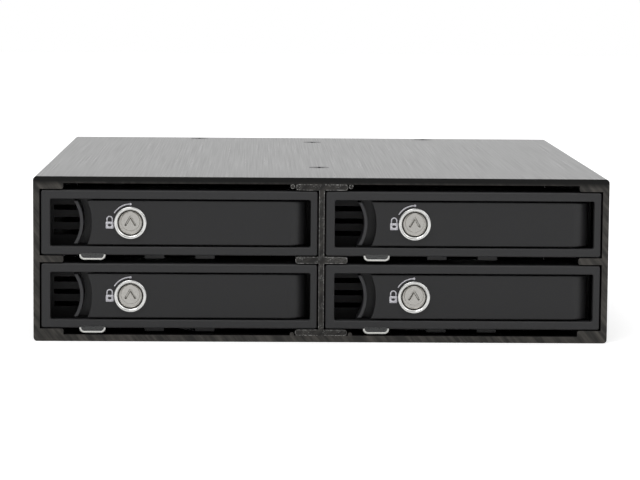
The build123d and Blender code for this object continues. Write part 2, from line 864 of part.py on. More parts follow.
# The pan is pierced and folded sheet: drive holes over the rails, windows, a front flange and two tongues.
drive_holes = [
    (x, drive_hole_first + n * drive_hole_pitch)
    for x in (-drive_hole_span / 2, drive_hole_span / 2)
    for n in (0, 1)
]
windows_left = pipe_x + pipe_width / 2 + window_from_pipe
windows_right = drive_hole_span / 2 - drive_head_radius - window_from_hole
windows_front = bezel_depth + window_front
windows_back = pan_back - window_back
window_width = (windows_right - windows_left + window_bar[0]) / window_count[0] - window_bar[0]
window_length = (windows_back - windows_front + window_bar[1]) / window_count[1] - window_bar[1]
with BuildPart() as tray_pan:
    with BuildSketch(Plane.XY.offset(-half_height)):
        with Locations((0, (bezel_depth + pan_back) / 2)):
            Rectangle(bezel_width, pan_back - bezel_depth)
        fillet(vertices().group_by(Axis.Y)[-1], pan_corner)
        with Locations(((windows_left + windows_right) / 2, (windows_front + windows_back) / 2)):
            with GridLocations(window_width + window_bar[0], window_length + window_bar[1], *window_count):
                RectangleRounded(window_width, window_length, window_radius, mode=Mode.SUBTRACT)
        with Locations(*[(pipe_x, y) for y in peg_depths]):
            Circle(peg_radius + pipe_room, mode=Mode.SUBTRACT)
    extrude(amount=pan_thick)
    block(
        (left_x + pan_flange_left, left_x + pan_flange_right),
        (bezel_depth, bezel_depth + pan_thick),
        (-half_height, pan_flange_height - half_height),
    )
    for x in (-tongue_x, tongue_x):
        side = (x - tongue_width / 2, x + tongue_width / 2)
        block(side, (bezel_depth, bezel_depth + joggle_length), (tongue_z, -half_height))
        block(side, (tongue_front, bezel_depth), (tongue_z, -half_height))
    with Locations(*[Location((x, y, -half_height), (180, 0, 0)) for x, y in drive_holes]):
        CounterSinkHole(drive_hole_radius, drive_head_radius, pan_thick, 90)
    with Locations(
        *[Location((x, tongue_screw_depth, tongue_z), (180, 0, 0)) for x in (-tongue_x, tongue_x)]
    ):
        CounterSinkHole(tongue_screw + screw_room, tongue_head + screw_room, pan_thick, 90)

with BuildPart() as tray_screws:
    for x in (-tongue_x, tongue_x):
        with BuildSketch(Plane((x, tongue_screw_depth, tongue_z), x_dir=(1, 0, 0), z_dir=(0, -1, 0))):
            with BuildLine():
                Polyline(
                    (0, 0),
                    (tongue_head, 0),
                    (tongue_screw, tongue_head - tongue_screw),
                    (tongue_screw, tongue_screw_length),
                    (0, tongue_screw_length),
                    close=True,
                )
            make_face()
        revolve(axis=Axis((x, tongue_screw_depth, 0), (0, 0, 1)))

# The light pipe is one clear moulding under the pan: a head in the bezel, a flat bar and two pegs.
pipe_top = -half_height - pipe_room
pipe_bottom = -half_height - pipe_low
pipe_sides = (pipe_x - pipe_width / 2, pipe_x + pipe_width / 2)
with BuildPart() as light_pipe:
    block(pipe_sides, (pipe_inset, pipe_head_length), (pipe_bottom, pipe_head_rise - half_height))
    fillet(light_pipe.edges().filter_by(Axis.Y), pipe_edge)
    block(
        pipe_sides,
        (pipe_head_length, board_front - led_depth - pipe_back_gap),
        (pipe_bottom, pipe_top),
    )
    with Locations(*[(pipe_x, y, pipe_top + peg_height / 2) for y in peg_depths]):
        Cylinder(peg_radius, peg_height)

# Every bay gets the same tray.
tray_pieces = {
    "bezel": bezel,
    "lever": lever,
    "lever_pin": lever_pin,
    "release_latch": release_latch,
    "latch_spring": latch_spring,
    "lock_barrel": lock_barrel,
    "lock_plug": lock_plug,
    "lock_cam": lock_cam,
    "tray_pan": tray_pan,
    "tray_screws": tray_screws,
    "light_pipe": light_pipe,
}
for bay, (x, z) in bays.items():
    for name, piece in tray_pieces.items():
        save(piece.part.moved(Location((x, front_y, z))), f"{name}_{bay}")
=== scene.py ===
import math

import bpy
import numpy as np
from mathutils import Matrix, Vector


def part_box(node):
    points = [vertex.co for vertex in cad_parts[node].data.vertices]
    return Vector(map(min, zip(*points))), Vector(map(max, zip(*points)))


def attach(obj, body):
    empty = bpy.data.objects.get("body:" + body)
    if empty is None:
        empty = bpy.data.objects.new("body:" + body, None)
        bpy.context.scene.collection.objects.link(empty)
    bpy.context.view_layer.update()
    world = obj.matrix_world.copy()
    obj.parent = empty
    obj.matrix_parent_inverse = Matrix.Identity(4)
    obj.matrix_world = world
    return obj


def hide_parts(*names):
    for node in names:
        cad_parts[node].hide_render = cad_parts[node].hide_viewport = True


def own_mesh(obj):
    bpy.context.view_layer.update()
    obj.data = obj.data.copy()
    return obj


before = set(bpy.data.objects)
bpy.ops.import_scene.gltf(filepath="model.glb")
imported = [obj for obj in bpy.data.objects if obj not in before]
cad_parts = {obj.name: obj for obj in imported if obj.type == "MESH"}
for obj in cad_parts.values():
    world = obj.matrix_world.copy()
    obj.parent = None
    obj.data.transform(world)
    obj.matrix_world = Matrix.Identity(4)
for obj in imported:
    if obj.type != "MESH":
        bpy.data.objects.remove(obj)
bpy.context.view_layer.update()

# The housing is one extruded aluminium tube, sawn to length, brushed along its depth and
# anodised black. The dyed oxide is a clear hard skin over black, so the top mirrors the
# white room at a glancing angle, and the sawn front end keeps slanting saw marks.
MM = 0.001                # metres in a millimetre: sizes are in mm unless they say metres
SKIN_BLACK = ("#1a1a1a", "#212120")
SKIN_ROUGHNESS = (0.27, 0.36)
COAT_SHINE = 0.27
COAT_IOR = 1.62
COAT_ROUGHNESS = 0.3
BRUSH_LINE = 0.35         # width of one brushed line across the top
BRUSH_STRETCH = 160       # how many times as long as wide a line is
HOUSING_SAWN = ("#2d2c2a", "#4f4c48")
HOUSING_SAW_TURN = 52
SAW_PITCH = 1.2           # distance between two marks of the saw
SAW_STRETCH = 12
SAW_THROUGH = 1000        # a mark runs straight through the whole cage
SAW_SHOWS = (0.4, 0.66)
SAWN_ROUGHNESS = (0.38, 0.6)
SAWN_IOR = 1.33           # the sawn ends lost the sealed skin and shine little
GRIT = 0.28               # grain of the sawn metal
END_FACING = (0.8, 0.95)  # how squarely an end face looks along the depth
PAINTED_TOP_SHADE = "#090908"      # painted shade: the sawn front turns darker along its upper edge
PAINTED_TOP_SHADE_FROM = (39.6, 40.9)
NOISE_SPREAD = (0.3, 0.7)  # nearly all of a noise lies between these
WELD_WITHIN = 0.0005
SHARP_ANGLE = math.radians(35)


def linear(hex_colour):
    """sRGB hex to linear RGBA: c / 12.92 below 0.04045, and ((c + 0.055) / 1.055) ** 2.4 above."""
    c = np.array([int(hex_colour[i:i + 2], 16) for i in (1, 3, 5)]) / 255
    c = np.where(c < 0.04045, c / 12.92, ((c + 0.055) / 1.055) ** 2.4)
    return (*(float(v) for v in c), 1.0)


def add(tree, kind, sockets=None, **settings):
    """One shader node: its settings are attributes, and a socket takes a value or an output."""
    node = tree.nodes.new(kind)
    for name, value in settings.items():
        setattr(node, name, value)
    for name, value in (sockets or {}).items():
        if isinstance(value, bpy.types.NodeSocket):
            tree.links.new(value, node.inputs[name])
        else:
            node.inputs[name].default_value = value
    return node


def new_material(name):
    """A material and its node tree, which is empty."""
    material = bpy.data.materials.new(name)
    material.use_nodes = True
    material.node_tree.nodes.clear()
    return material, material.node_tree


def surfaced(tree, sockets):
    """Gives a material a Principled surface with these sockets, joined to its output."""
    surface = add(tree, "ShaderNodeBsdfPrincipled", sockets)
    add(tree, "ShaderNodeOutputMaterial", {"Surface": surface.outputs[0]})


def mix(tree, factor, low, high):
    """Colour low where factor is 0 and high where it is 1."""
    return add(tree, "ShaderNodeMix", {0: factor, 6: low, 7: high}, data_type="RGBA").outputs[2]


def mix_values(tree, factor, low, high):
    """The number low where factor is 0 and high where it is 1."""
    return add(tree, "ShaderNodeMix", {0: factor, 2: low, 3: high}).outputs[0]


def stepped(tree, value, low, high, to_low=0.0, to_high=1.0):
    """A value mapped from low..high to to_low..to_high, and held at the ends."""
    return add(tree, "ShaderNodeMapRange", {
        "Value": value, "From Min": low, "From Max": high, "To Min": to_low, "To Max": to_high,
    }).outputs["Result"]


def object_place(tree, size=(1, 1, 1), turn=(0, 0, 0)):
    """Object coordinates in mm, turned back by the turn and divided by a pattern's size."""
    where = add(tree, "ShaderNodeTexCoord")
    return add(tree, "ShaderNodeMapping", {
        "Vector": where.outputs["Object"], "Scale": tuple(v * MM for v in size), "Rotation": turn,
    }, vector_type="TEXTURE").outputs["Vector"]


def noise(tree, size, detail=2.0, roughness=0.5, place=None):
    """Noise with spots of the given size, in mm or in the given place's own units."""
    return add(tree, "ShaderNodeTexNoise", {
        "Vector": object_place(tree) if place is None else place,
        "Scale": 1 / size, "Detail": detail, "Roughness": roughness,
    }).outputs["Fac"]


def relief(tree, height, strength, depth):
    """The normal of a surface bumped by a height from 0 to 1, which stands for the depth in mm."""
    return add(tree, "ShaderNodeBump", {
        "Height": height, "Strength": strength, "Distance": depth * MM,
    }).outputs["Normal"]


def along_depth(tree):
    """The surface normal's y: -1 on a face that looks to the front, 1 on one that looks back."""
    normal = add(tree, "ShaderNodeTexCoord").outputs["Normal"]
    return add(tree, "ShaderNodeSeparateXYZ", {"Vector": normal}).outputs["Y"]


def anodised_extrusion(name, saw_turn, sawn_colours, painted_top_shade):
    """Black anodised aluminium: lines along the depth, and slanting saw marks on its end faces."""
    material, tree = new_material(name)
    facing = add(tree, "ShaderNodeMath", {0: along_depth(tree)}, operation="ABSOLUTE").outputs[0]
    end_face = stepped(tree, facing, *END_FACING)
    line_size = (BRUSH_LINE, BRUSH_STRETCH * BRUSH_LINE, BRUSH_LINE)
    brushed = noise(tree, 1, detail=3.0, place=object_place(tree, line_size))
    mark_size = (SAW_STRETCH * SAW_PITCH, SAW_THROUGH, SAW_PITCH)
    mark_turn = (0, math.radians(saw_turn), 0)
    mark_place = object_place(tree, mark_size, mark_turn)
    marks = noise(tree, 1, detail=3.0, roughness=0.6, place=mark_place)
    sawn = mix(tree, stepped(tree, marks, *SAW_SHOWS), *(linear(v) for v in sawn_colours))
    # Painted shade: the sawn front is painted nearly black along its top, for the shade there.
    if painted_top_shade:
        height = add(tree, "ShaderNodeSeparateXYZ", {"Vector": object_place(tree)}).outputs["Z"]
        sawn = mix(tree, stepped(tree, height, *PAINTED_TOP_SHADE_FROM), sawn, linear(PAINTED_TOP_SHADE))
    skin = mix(tree, stepped(tree, brushed, *NOISE_SPREAD), *(linear(v) for v in SKIN_BLACK))
    bumps = relief(tree, mix_values(tree, end_face, brushed, marks), strength=0.08, depth=0.05)
    surfaced(tree, {
        "Base Color": mix(tree, end_face, skin, sawn),
        "Roughness": mix_values(
            tree, end_face,
            stepped(tree, brushed, *NOISE_SPREAD, *SKIN_ROUGHNESS),
            stepped(tree, noise(tree, GRIT), *NOISE_SPREAD, *SAWN_ROUGHNESS),
        ),
        "Normal": bumps, "IOR": SAWN_IOR,
        "Coat Weight": stepped(tree, end_face, 0, 1, COAT_SHINE, 0),
        "Coat IOR": COAT_IOR, "Coat Roughness": COAT_ROUGHNESS, "Coat Normal": bumps,
    })
    return material


def finish_node(node, material, edge):
    """Gives a CAD node its material, joins its loose triangles and eases its edges, in mm."""
    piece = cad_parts[node]
    piece.data.materials.clear()
    piece.data.materials.append(material)
    piece.data.shade_smooth()
    weld = piece.modifiers.new("joined", "WELD")
    weld.merge_threshold = WELD_WITHIN * MM
    if edge:
        eased = piece.modifiers.new("eased_edges", "BEVEL")
        eased.width = edge * MM
        eased.segments = 2
        eased.limit_method = "ANGLE"
        eased.angle_limit = SHARP_ANGLE
        eased.harden_normals = True
    even = piece.modifiers.new("even_faces", "WEIGHTED_NORMAL")
    even.keep_sharp = True


housing_skin = anodised_extrusion("black_anodised_housing", HOUSING_SAW_TURN, HOUSING_SAWN, True)
finish_node("housing", housing_skin, 0.1)

# The divider is a second black anodised extrusion, cut with a coarser saw, so that its
# flange ends glitter with bare specks of metal.
DIVIDER_SAWN = ("#242322", "#3d3b38")
DIVIDER_SAW_TURN = -40
SPECK = 0.16              # size of one bare speck on the cut ends
SPECK_COLOUR = "#c9c9c6"
SPECK_PATCH = 2.5         # size of the patches that specks come in


def times(tree, first, second):
    """The product of two values."""
    return add(tree, "ShaderNodeMath", {0: first, 1: second}, operation="MULTIPLY").outputs[0]


def specked_extrusion():
    """Black anodised aluminium with bare specks: bright where two noises and the front meet."""
    material = anodised_extrusion("black_anodised_divider", DIVIDER_SAW_TURN, DIVIDER_SAWN, False)
    tree = material.node_tree
    surface = next(n for n in tree.nodes if n.type == "BSDF_PRINCIPLED")
    front = stepped(tree, times(tree, along_depth(tree), -1.0), 0.6, 0.9)
    specks = stepped(tree, noise(tree, SPECK, roughness=0.7), 0.6, 0.68)
    patches = stepped(tree, noise(tree, SPECK_PATCH, detail=1.0), 0.5, 0.6)
    bare = times(tree, times(tree, specks, patches), front)
    skin = surface.inputs["Base Color"].links[0].from_socket
    tree.links.new(mix(tree, bare, skin, linear(SPECK_COLOUR)), surface.inputs["Base Color"])
    return material


finish_node("divider", specked_extrusion(), 0.12)

# Painted highlight: a pale band follows the outline of the divider's cut end and rings the two
# small ribs beside its upper flange, for the light its edges catch. It breaks off in places.
HIGHLIGHT_BAND_WIDTH = 0.14
HIGHLIGHT_BAND_PROUD = 0.03
HIGHLIGHT_BAND_COLOURS = ("#3a3937", "#a9a8a5")
HIGHLIGHT_BAND_BREAK = 0.6          # size of the places where the painted highlight breaks off
WEB_HALF = 0.675          # the outline repeats the divider's own sizes
FLANGE_REACH = 6.6
FLANGES = ((2.45, 1.5), (21.0, 1.7), (39.55, 1.5))  # height and thickness
RIB_RADIUS = 0.55
RIB_PLACE = (7.4, 39.75)
WEB_POINTS = 9
TIP_POINTS = 15
RIB_POINTS = 25


def painted_highlight_band():
    """Painted highlight in patches: a noise of their size mixes pale grey with the black skin."""
    material, tree = new_material("painted_edge_highlight")
    left = stepped(tree, noise(tree, HIGHLIGHT_BAND_BREAK, roughness=0.7), 0.45, 0.62)
    surfaced(tree, {
        "Base Color": mix(tree, left, *(linear(v) for v in HIGHLIGHT_BAND_COLOURS)),
        "Roughness": 0.45, "IOR": 1.4,
    })
    return material


def surface_piece(name, patches, material, body):
    """A mesh of grids of points, each joined to its neighbours into quads and placed in metres.

    A patch is an array of rows by columns by 3, in mm, and its faces run row by row."""
    points, faces, start = [], [], 0
    for patch in patches:
        rows, columns = patch.shape[:2]
        index = start + np.arange(rows * columns).reshape(rows, columns)
        corners = (index[:-1, :-1], index[:-1, 1:], index[1:, 1:], index[1:, :-1])
        points.append(patch.reshape(-1, 3))
        faces.append(np.stack(corners, axis=-1).reshape(-1, 4))
        start += rows * columns
    mesh = bpy.data.meshes.new(name)
    mesh.from_pydata((np.concatenate(points) * MM).tolist(), [], np.concatenate(faces).tolist())
    mesh.materials.append(material)
    mesh.shade_smooth()
    piece = bpy.data.objects.new(name, mesh)
    bpy.context.scene.collection.objects.link(piece)
    joined = piece.modifiers.new("joined", "WELD")
    joined.merge_threshold = WELD_WITHIN * MM
    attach(piece, body)
    return piece


def ribbon(inner, outer, front, back, capped=False):
    """A flat band between two curves of x, z points: its walls, joined in a ring along it.

    A band with open ends is capped: either end's section is drawn together to one point."""
    def at(curve, y):
        return np.stack([curve[:, 0], np.full(len(curve), y), curve[:, 1]], axis=-1)
    ring = ((inner, front), (inner, back), (outer, back), (outer, front), (inner, front))
    walls = np.stack([at(curve, y) for curve, y in ring])
    if capped:
        middles = [walls[:-1, [end]].mean(axis=0)[None] for end in (0, -1)]
        first, last = (np.repeat(middle, len(ring), axis=0) for middle in middles)
        walls = np.concatenate([first, walls, last], axis=1)
    return walls


def turn_points(radius, start, end, count, squeeze=(1.0, 1.0)):
    """Points round an arc, in degrees anticlockwise from the front, squeezed in x and z."""
    t = np.radians(np.linspace(start, end, count))
    return np.stack([radius * squeeze[0] * np.cos(t), radius * squeeze[1] * np.sin(t)], axis=-1)


def flange_points(side, height, thick, inset):
    """Half a flange's outline, inset, anticlockwise: from the web, round its tip and back."""
    radius = thick / 2 - inset
    root = WEB_HALF + HIGHLIGHT_BAND_WIDTH
    tip = turn_points(radius, -90, 90, TIP_POINTS) + [FLANGE_REACH - thick / 2, 0]
    points = np.concatenate([[[root, -radius]], tip, [[root, radius]]])
    return (points if side > 0 else points[::-1] * [-1, 1]) + [0, height]


def web_points(side, low, high):
    """Points up the web's right side between two flanges, or down its left side."""
    height = np.linspace(low, high, WEB_POINTS)[::side]
    return np.stack([np.full(WEB_POINTS, side * WEB_HALF), height], axis=-1)


def node_box(node):
    """A node's lowest and highest corners at rest, in mm."""
    return [np.array(corner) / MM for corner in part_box(node)]


cut_y = node_box("divider")[0][1]
front, back = cut_y - HIGHLIGHT_BAND_PROUD, cut_y + HIGHLIGHT_BAND_PROUD
highlight_bands = []
for side in (-1, 1):
    for height, thick in FLANGES:
        inner, outer = (flange_points(side, height, thick, inset) for inset in (HIGHLIGHT_BAND_WIDTH, 0))
        highlight_bands.append(ribbon(inner, outer, front, back, True))
    for (below, low_thick), (above, high_thick) in zip(FLANGES[:-1], FLANGES[1:]):
        web = web_points(side, below + low_thick / 2, above - high_thick / 2)
        highlight_bands.append(ribbon(web - [side * HIGHLIGHT_BAND_WIDTH, 0], web, front, back, True))
    rib = np.array(RIB_PLACE) * [side, 1]
    radii = (RIB_RADIUS - HIGHLIGHT_BAND_WIDTH, RIB_RADIUS)
    inner, outer = (rib + turn_points(radius, 0, 360, RIB_POINTS) for radius in radii)
    highlight_bands.append(ribbon(inner, outer, front, back))
# Painted highlight: pale bands along the cut end's edges stand in for the light they catch.
surface_piece("divider_edge_highlights", highlight_bands, painted_highlight_band(), "cage")

# The screws of the cage are M3 flat-heads in steel, blackened in hot oxide and oiled,
# which leaves a dark satin grey with a soft shine.


def plated_metal(name, colour, roughness, grain):
    """Metal with an uneven finish: noise of the grain, in mm, varies its roughness and height."""
    material, tree = new_material(name)
    spots = noise(tree, grain, detail=3.0)
    surfaced(tree, {
        "Base Color": linear(colour), "Metallic": 1.0,
        "Roughness": stepped(tree, spots, *NOISE_SPREAD, roughness * 0.85, roughness * 1.15),
        "Normal": relief(tree, spots, strength=0.08, depth=0.03),
    })
    return material


black_oxide = plated_metal("black_oxide_steel", "#3a3a3b", roughness=0.42, grain=0.3)
finish_node("cage_screws", black_oxide, 0.05)

# The backplane is a glass-epoxy board under green solder mask, a thin glossy lacquer in
# which the copper runs show as slightly paler lines.
MASK_COLOURS = ("#123a20", "#1f5530")
TRACK_PITCH = 1.27
TRACK_BREAK = 7           # size of the blocks that break the tracks up
WAVE_LENGTH = 0.32        # length of one wave of the texture at scale 1


def solder_masked_board():
    """Green lacquer with straight tracks: a wave across the board, broken up by square cells."""
    material, tree = new_material("solder_masked_board")
    tracks = add(tree, "ShaderNodeTexWave", {
        "Vector": object_place(tree), "Scale": WAVE_LENGTH / TRACK_PITCH, "Distortion": 0.0,
    }, wave_type="BANDS", bands_direction="X").outputs["Fac"]
    cells = add(tree, "ShaderNodeTexVoronoi", {
        "Vector": object_place(tree), "Scale": 1 / TRACK_BREAK,
    }, distance="CHEBYCHEV").outputs["Color"]
    shown = times(tree, stepped(tree, tracks, 0.62, 0.7), stepped(tree, cells, 0.4, 0.5))
    surfaced(tree, {
        "Base Color": mix(tree, shown, *(linear(v) for v in MASK_COLOURS)),
        "Roughness": 0.28, "Coat Weight": 0.4,
    })
    return material


finish_node("backplane", solder_masked_board(), 0)

# Receptacles and rear sockets are moulded in glass-filled nylon, black and faintly glossy.
# The lamps beside the receptacles are cast in milky resin.
CLOUD = 22                # size of the slow change of sheen over a moulding
PEAK_SHADE = 1.18         # how much paler the texture's peaks are


def moulded(name, colour, roughness, texture, depth=0.02, ior=1.5):
    """Moulded plastic: a fine texture, in mm, gives small bumps, and clouds an uneven sheen."""
    material, tree = new_material(name)
    fine = noise(tree, texture, roughness=0.6)
    raised = tuple(v * PEAK_SHADE for v in linear(colour)[:3]) + (1.0,)
    sheen = (roughness - 0.03, roughness + 0.04)
    surfaced(tree, {
        "Base Color": mix(tree, stepped(tree, fine, 0.35, 0.65), linear(colour), raised),
        "Roughness": stepped(tree, noise(tree, CLOUD), *NOISE_SPREAD, *sheen),
        "Normal": relief(tree, fine, strength=0.35, depth=depth), "IOR": ior,
    })
    return material


nylon = moulded("glass_filled_nylon", "#161617", roughness=0.42, texture=0.2)
for node in ("drive_receptacles", "data_ports", "power_ports"):
    finish_node(node, nylon, 0.08)
finish_node("status_leds", moulded("lamp_lens", "#c9cbb8", roughness=0.2, texture=0.5), 0.05)

# The rear panel is folded steel sheet with bright zinc plating, the screws are plated the
# same, and the spacers are turned brass.
zinc_sheet = plated_metal("zinc_plated_sheet", "#8f9194", roughness=0.36, grain=1.6)
zinc_screw = plated_metal("zinc_plated_screw", "#9b9da0", roughness=0.3, grain=0.3)
brass = plated_metal("turned_brass", "#b39a5e", roughness=0.3, grain=0.4)
finish_node("rear_panel", zinc_sheet, 0.08)
finish_node("spacers", brass, 0.08)
for node in ("spacer_screws", "fan_screws"):
    finish_node(node, zinc_screw, 0.05)

# The two fans are moulded in black glass-filled plastic, frame and rotor alike, with the
# dull even sheen of a part that nobody polishes.
fan_plastic = moulded("fan_plastic", "#19191a", roughness=0.45, texture=0.3)
for side in ("left", "right"):
    finish_node(f"fan_frame_{side}", fan_plastic, 0.15)
    finish_node(f"fan_rotor_{side}", fan_plastic, 0.1)

# A bezel is moulded in black ABS with a fine matt texture, a little paler than the lever
# in it. Its front edges are rounded and catch the light.
BAYS = ("upper_left", "upper_right", "lower_left", "lower_right")

bezel_abs = moulded("matt_black_abs", "#2b2b2c", roughness=0.52, texture=0.16, ior=1.46)
for bay in BAYS:
    finish_node(f"bezel_{bay}", bezel_abs, 0.22)

# A lever is moulded in the same ABS from a finer mould, so it is darker and smoother than
# the bezel round it.
lever_abs = moulded("satin_black_abs", "#232324", roughness=0.46, texture=0.12, ior=1.46)
for bay in BAYS:
    finish_node(f"lever_{bay}", lever_abs, 0.2)

# A padlock and an arc are pad-printed in white beside each lock. The ink stands a few
# hundredths of a millimetre proud of the lever.
INK_THICK = 0.04
INK_COLOURS = ("#bcbac2", "#dedde2")
INK_SPOT = 0.25           # size of the spots where it is thin
SIGN_FROM_LOCK = (-5.25, -0.62)
SHACKLE_RADIUS = 0.68
SHACKLE_WIDTH = 0.3
SHACKLE_LEG = 0.65
LOCK_BODY = (1.98, 1.76)
KEYHOLE = (0.48, 0.32)
ARC_RADIUS = 4.75
ARC_WIDTH = 0.28
ARC_ENDS = (94, 149)
DOT_RADIUS = 0.3
DOT_MIDDLE = 0.001        # a band needs an inner edge, so the dot keeps a hair of a hole
BODY_POINTS = 49
BOW_POINTS = 17
ARC_POINTS = 33
DOT_POINTS = 17


def white_ink():
    """Pad-printing ink: nearly white, matt, a little thin in places."""
    material, tree = new_material("white_pad_print")
    thin = stepped(tree, noise(tree, INK_SPOT), 0.35, 0.65)
    surfaced(tree, {
        "Base Color": mix(tree, thin, *(linear(v) for v in INK_COLOURS)), "Roughness": 0.6,
    })
    return material


def square_points(width, height, count):
    """As many points round a rectangle as round an arc: a circle pushed out to the sides."""
    t = np.radians(np.linspace(0, 360, count))
    c, s = np.cos(t), np.sin(t)
    reach = 1 / np.maximum(np.abs(c) / (width / 2), np.abs(s) / (height / 2))
    return np.stack([reach * c, reach * s], axis=-1)


def shackle_points(radius):
    """The padlock's bow, anticlockwise: up its right leg, over a half circle, and down its left."""
    bow = turn_points(radius, 0, 180, BOW_POINTS) + [0, SHACKLE_LEG]
    return np.concatenate([[[radius, 0]], bow, [[-radius, 0]]])


def box_centre(node):
    """The middle of a node's box as the front shows it: x and z, in mm."""
    low, high = node_box(node)
    return (low[[0, 2]] + high[[0, 2]]) / 2


ink = white_ink()
for bay in BAYS:
    plate_y = node_box(f"lever_{bay}")[0][1]
    lock = box_centre(f"lock_barrel_{bay}")
    front, back = plate_y - INK_THICK, plate_y + INK_THICK
    sign = lock + SIGN_FROM_LOCK
    top = sign + [0, LOCK_BODY[1] / 2]
    tip = lock + [0, ARC_RADIUS]
    keyhole = sign + turn_points(1, 0, 360, BODY_POINTS, KEYHOLE)
    padlock = sign + square_points(*LOCK_BODY, BODY_POINTS)
    bow_radii, arc_radii = (
        (radius - width / 2, radius + width / 2)
        for radius, width in ((SHACKLE_RADIUS, SHACKLE_WIDTH), (ARC_RADIUS, ARC_WIDTH))
    )
    shackle = [top + shackle_points(radius) for radius in bow_radii]
    arc = [lock + turn_points(radius, *ARC_ENDS, ARC_POINTS) for radius in arc_radii]
    dot = [tip + turn_points(radius, 0, 360, DOT_POINTS) for radius in (DOT_MIDDLE, DOT_RADIUS)]
    surface_piece(f"printed_signs_{bay}", [
        ribbon(keyhole, padlock, front, back),
        ribbon(*shackle, front, back, True),
        ribbon(*arc, front, back, True),
        ribbon(*dot, front, back),
    ], ink, f"lever_{bay}")

# The release latch is a smooth black moulding, a little paler than the bezel. A coil of
# spring wire stands between its lug and the bezel's post.
SPRING_TURNS = 4
WIRE_RADIUS = 0.22
WIRE_STEPS = 32           # steps of the wire in one turn
WIRE_SIDES = 12


def coil_points(low, high):
    """A round wire on a helix that fills the box from low to high, in mm, along x.

    Its circle stands on the helix's outward direction and on x less its part along the helix."""
    radius = (high[2] - low[2]) / 2 - WIRE_RADIUS
    turn = np.linspace(0, 2 * np.pi * SPRING_TURNS, WIRE_STEPS * SPRING_TURNS + 1)
    run = np.linspace(low[0] + WIRE_RADIUS, high[0] - WIRE_RADIUS, len(turn))
    zero = np.zeros_like(turn)
    outward = np.stack([zero, np.cos(turn), np.sin(turn)], axis=-1)
    axis = np.stack([run, zero + (low[1] + high[1]) / 2, zero + (low[2] + high[2]) / 2], axis=-1)
    path = axis + radius * outward
    along = np.gradient(path, axis=0)
    along /= np.linalg.norm(along, axis=1)[:, None]
    across = np.array([1.0, 0, 0]) - along[:, :1] * along
    across /= np.linalg.norm(across, axis=1)[:, None]
    angle = np.linspace(2 * np.pi, 0, WIRE_SIDES + 1)[None, :, None]
    circle = np.cos(angle) * outward[:, None] + np.sin(angle) * across[:, None]
    tube = path[:, None] + WIRE_RADIUS * circle
    caps = [np.repeat(path[[end]][:, None], WIRE_SIDES + 1, axis=1) for end in (0, -1)]
    return np.concatenate([caps[0], tube, caps[1]])


latch_abs = moulded("smooth_black_abs", "#303032", roughness=0.36, texture=0.3)
spring_wire = plated_metal("spring_steel_wire", "#8c8c8e", roughness=0.3, grain=0.2)
pin_steel = plated_metal("ground_steel_pin", "#8c8d90", roughness=0.28, grain=0.3)
for bay in BAYS:
    finish_node(f"release_latch_{bay}", latch_abs, 0.15)
    finish_node(f"lever_pin_{bay}", pin_steel, 0)
    low, high = node_box(f"latch_spring_{bay}")
    coil = [coil_points(low, high)]
    spring = surface_piece(f"coiled_spring_{bay}", coil, spring_wire, f"tray_{bay}")
    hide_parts(f"latch_spring_{bay}")
    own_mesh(spring)

# The lock's barrel is die-cast and bright chrome plated. Its plug is satin nickel: a round dial
# stands in a dished face with a thin rim, and the keyway is a slot bent to a peak, which takes
# a key folded from sheet.
PLUG_BODY = (             # radius and depth of the profile, from its back to its face
    (0, 8.35), (2.4, 8.35), (2.4, 7.35), (1.5, 7.35), (1.5, 6.05), (3.07, 6.05), (3.07, 0.3),
)
PLUG_SIDES = 288
PLUG_RINGS = 90
RIM_RADIUS = (2.82, 3.0)
DISH_DEPTH = 0.25
DIAL_RADIUS = 2.4
DIAL_UP = 0.4
POINTER_WIDTH = 1.2
KEYWAY_PEAK = (0.0, 1.55)
KEYWAY_FOOT = (1.2, -0.5)
KEYWAY_STROKE = 0.4
KEYWAY_DEPTH = 1.3
EDGE_SLOPE = 0.12         # width over which an edge of the face rises


def plug_depth(x, z):
    """How far the plug's face lies behind its dial, by x and z from the lock's centre.

    It is the dish's depth, raised to zero over the rim, the dial and its pointer, plus the keyway's
    depth within half a stroke of the line from its peak to its foot, mirrored left and right."""
    def inside(margin):
        return np.clip(margin / EDGE_SLOPE + 0.5, 0, 1)
    radius = np.hypot(x, z)
    rim = np.minimum(inside(radius - RIM_RADIUS[0]), inside(RIM_RADIUS[1] - radius))
    dial = inside(DIAL_RADIUS - np.hypot(x, z - DIAL_UP))
    pointer = np.minimum(inside(POINTER_WIDTH / 2 - np.abs(x)), inside(z))
    raised = np.maximum(rim, np.maximum(dial, pointer * inside(RIM_RADIUS[1] - radius)))
    peak, foot = np.array(KEYWAY_PEAK), np.array(KEYWAY_FOOT)
    leg = foot - peak
    out_x, out_z = np.abs(x) - peak[0], z - peak[1]
    along = np.clip((out_x * leg[0] + out_z * leg[1]) / (leg @ leg), 0, 1)
    off = np.hypot(out_x - along * leg[0], out_z - along * leg[1])
    return DISH_DEPTH * (1 - raised) + KEYWAY_DEPTH * inside(KEYWAY_STROKE / 2 - off)


def plug_points(centre, front):
    """The plug's profile carried round its axis: radius times cosine and sine, and its depth."""
    turn = np.radians(np.linspace(0, 360, PLUG_SIDES + 1))
    body = np.array(PLUG_BODY)
    face_radius = np.linspace(RIM_RADIUS[1], 0, PLUG_RINGS)
    radius = np.concatenate([body[:, 0], face_radius])[:, None]
    x, z = radius * np.cos(turn), radius * np.sin(turn)
    depth = np.repeat(body[:, 1][:, None], len(turn), axis=1)
    depth = np.concatenate([depth, plug_depth(x[len(body):], z[len(body):])])
    return np.stack([centre[0] + x, front + depth, centre[1] + z], axis=-1)


